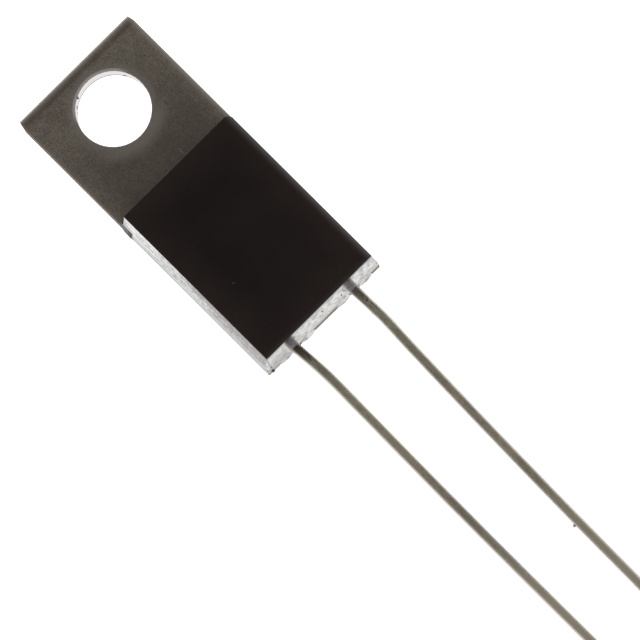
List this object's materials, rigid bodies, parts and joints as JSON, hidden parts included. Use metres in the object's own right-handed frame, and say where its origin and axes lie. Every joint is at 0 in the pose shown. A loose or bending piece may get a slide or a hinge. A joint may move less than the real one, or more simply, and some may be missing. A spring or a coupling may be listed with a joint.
{
  "type": "temperature sensor",
  "caption": "Flat temperature sensor: a film resistor chip moulded in black epoxy on a punched metal tab with a mounting hole, and two bare wire leads at the far end.",
  "frame": {"origin": "on the axis of the mounting hole, at the tab's flat back face", "axes": "+X from the hole towards the leads, +Z from the back face towards the top of the body, +Y to the left of +X"},
  "size_m": [0.0421, 0.0073, 0.0035],
  "materials": {
    "tab_metal": "nickel-plated punched plate, dull, with a fine even grain",
    "body_epoxy": "black epoxy moulding, smooth and slightly glossy",
    "lead_metal": "dull tinned round wire",
    "bond_adhesive": "cured heat-conducting adhesive",
    "alumina": "diced white ceramic",
    "metal_film": "sputtered metal film",
    "fired_glass": "thin fired glaze",
    "pad_metal": "printed silver pad",
    "solder": "satin solder"
  },
  "bodies": {
    "root": {"mounting_tab": "tab_metal", "moulded_body": "body_epoxy", "lead_left": "lead_metal", "lead_right": "lead_metal", "chip_adhesive": "bond_adhesive", "chip_substrate": "alumina", "resistor_film": "metal_film", "glass_cover": "fired_glass", "contact_pad_left": "pad_metal", "contact_pad_right": "pad_metal", "solder_joint_left": "solder", "solder_joint_right": "solder"}
  },
  "joints": []
}
